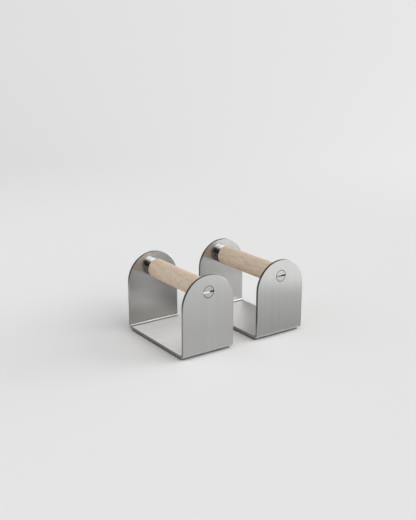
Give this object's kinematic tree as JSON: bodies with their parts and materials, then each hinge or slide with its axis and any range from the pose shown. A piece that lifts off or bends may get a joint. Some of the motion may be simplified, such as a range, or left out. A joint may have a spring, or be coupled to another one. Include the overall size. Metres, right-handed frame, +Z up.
{
  "type": "parallette bars",
  "caption": "Low free-standing parallette bars: wooden grips clamped between the arched cheeks of bent steel brackets on rubber soles, for push-ups and handstands.",
  "frame": {"origin": "on the floor, midway between the two bars and midway along them", "axes": "+X along the grips towards the front cheeks, +Y from the left bar to the right bar, +Z up"},
  "size_m": [0.195, 0.276, 0.152],
  "materials": {
    "brushed_steel": "brushed stainless sheet, grain along the strip",
    "polished_steel": "dark polished steel, mirror-like",
    "screw_steel": "turned stainless screw heads",
    "plated_steel": "zinc-plated turned rod",
    "wood": "pale oak or ash, fine sanded, oiled",
    "rubber": "matte dark rubber sheet"
  },
  "bodies": {
    "root": {"left_bracket": "brushed_steel", "left_grip": "wood", "left_front_collar": "polished_steel", "left_rear_collar": "polished_steel", "left_core_rod": "plated_steel", "left_front_screw": "screw_steel", "left_rear_screw": "screw_steel", "left_base_pad": "rubber", "right_bracket": "brushed_steel", "right_grip": "wood", "right_front_collar": "polished_steel", "right_rear_collar": "polished_steel", "right_core_rod": "plated_steel", "right_front_screw": "screw_steel", "right_rear_screw": "screw_steel", "right_base_pad": "rubber"}
  },
  "joints": []
}
